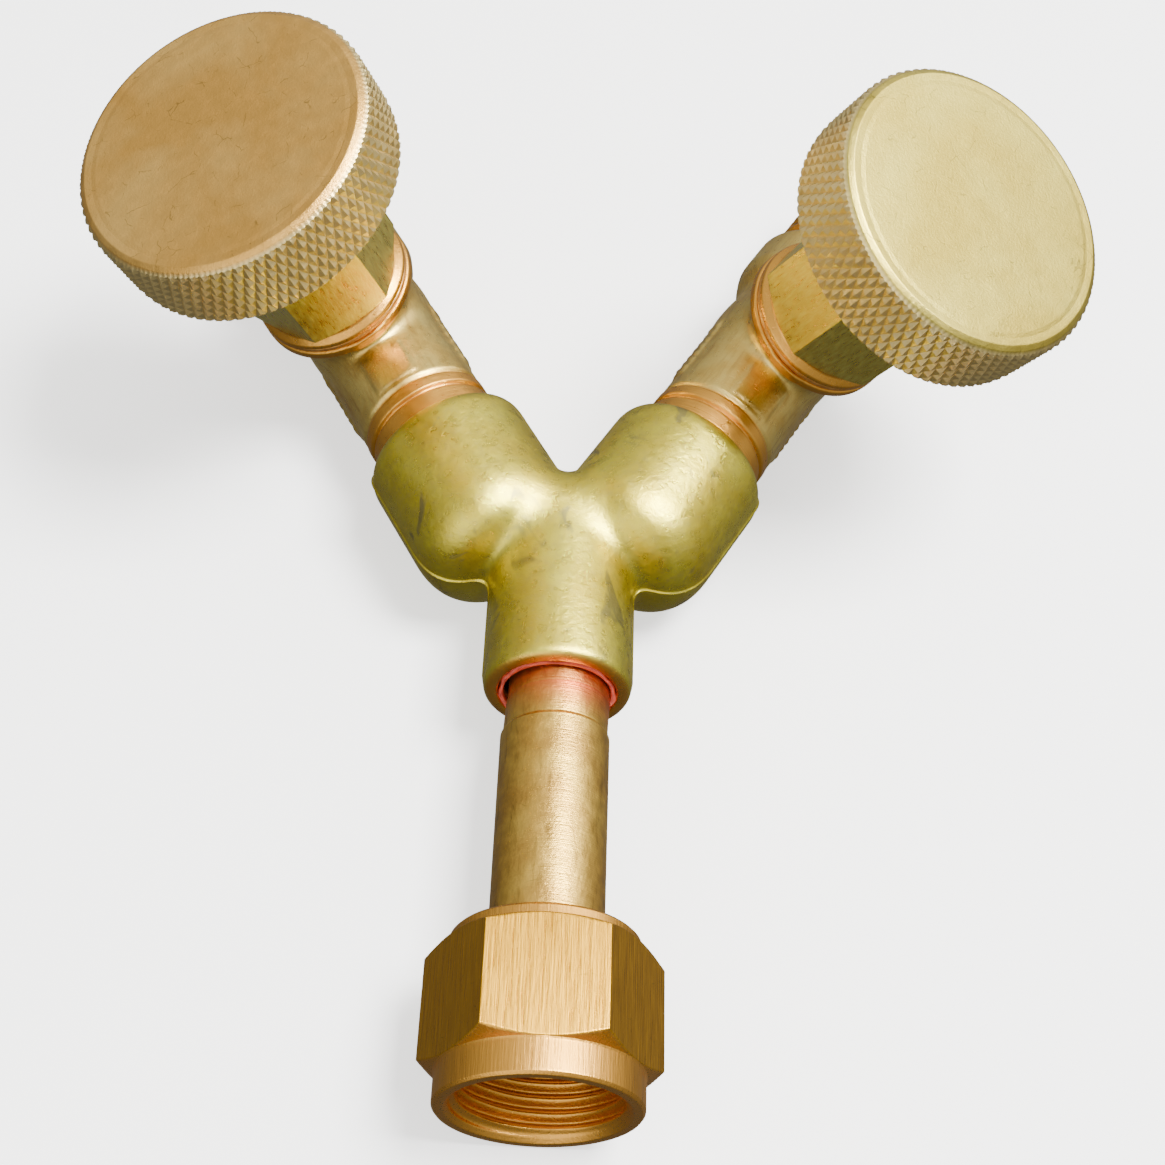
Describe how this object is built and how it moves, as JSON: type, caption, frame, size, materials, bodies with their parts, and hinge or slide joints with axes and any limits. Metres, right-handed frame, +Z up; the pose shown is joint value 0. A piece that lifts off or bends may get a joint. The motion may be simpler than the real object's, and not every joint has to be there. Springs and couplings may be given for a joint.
{
  "type": "hose splitter",
  "caption": "Brass Y hose splitter: a swivel inlet nut on a nipple, a forged wye, and a screw-down valve with a round knurled knob on each leg.",
  "frame": {"origin": "middle of the underside of the whole splitter's bounding box, on the surface that it lies on", "axes": "+Y from the inlet nut towards the fork, along the inlet line; +Z up, square to the plane of the fork, on the side that the knobs lean out of; +X towards the right leg"},
  "size_m": [0.1038, 0.121, 0.0493],
  "materials": {
    "forged_brass": "tumbled forging, yellow-green tarnish, fine dark scratches",
    "satin_brass": "satin, faintly granular, brown streaks",
    "knob_brass": "bright cut diamond knurl, flat matte face with fine scratches",
    "nut_brass": "drawn bar flats brushed lengthwise, turned collars",
    "bar_brass": "drawn hexagon bar, satin",
    "turned_brass": "turned, fine tool rings",
    "gasket_copper": "soft copper, dull",
    "o_ring_rubber": "nitrile, matte black",
    "seat_nylon": "white nylon",
    "sealant": "set red anaerobic thread sealant"
  },
  "bodies": {
    "splitter_frame": {"wye_body": "forged_brass", "inlet_nipple": "satin_brass", "inlet_thread_sealant": "sealant", "left_valve_body": "satin_brass", "left_bonnet": "bar_brass", "left_bonnet_gasket": "gasket_copper", "right_valve_body": "satin_brass", "right_bonnet": "bar_brass", "right_bonnet_gasket": "gasket_copper"},
    "inlet_nut": {"inlet_nut": "nut_brass"},
    "left_valve_seat": {"left_seat_holder": "turned_brass", "left_seat_disc": "seat_nylon"},
    "left_valve_spindle": {"left_stem": "turned_brass", "left_stem_o_ring_lower": "o_ring_rubber", "left_stem_o_ring_upper": "o_ring_rubber", "left_knob": "knob_brass"},
    "right_valve_seat": {"right_seat_holder": "turned_brass", "right_seat_disc": "seat_nylon"},
    "right_valve_spindle": {"right_stem": "turned_brass", "right_stem_o_ring_lower": "o_ring_rubber", "right_stem_o_ring_upper": "o_ring_rubber", "right_knob": "knob_brass"}
  },
  "joints": [
    {"name": "inlet_nut_spin", "type": "hinge", "parent": "splitter_frame", "child": "inlet_nut", "pos_m": [-0.00108, -0.05253, 0.00953], "axis": [0, 1, 0], "continuous": true},
    {"name": "left_valve_lift", "type": "slide", "parent": "splitter_frame", "child": "left_valve_seat", "axis": [-0.3453, -0.1994, 0.9171], "range_m": [0, 0.00265]},
    {"name": "left_knob_turn", "type": "hinge", "parent": "left_valve_seat", "child": "left_valve_spindle", "pos_m": [-0.03355, 0.0254, 0.03337], "axis": [-0.3453, -0.1994, 0.9171], "range_deg": [0, 900]},
    {"name": "right_valve_lift", "type": "slide", "parent": "splitter_frame", "child": "right_valve_seat", "axis": [0.4185, -0.2416, 0.8755], "range_m": [0, 0.00265]},
    {"name": "right_knob_turn", "type": "hinge", "parent": "right_valve_seat", "child": "right_valve_spindle", "pos_m": [0.03331, 0.0243, 0.03229], "axis": [0.4185, -0.2416, 0.8755], "range_deg": [0, 900]}
  ],
  "couplings": [
    {"joint": "left_valve_lift", "follows": "left_knob_turn", "m_per_rad": 0.00016844},
    {"joint": "right_valve_lift", "follows": "right_knob_turn", "m_per_rad": 0.00016844}
  ]
}
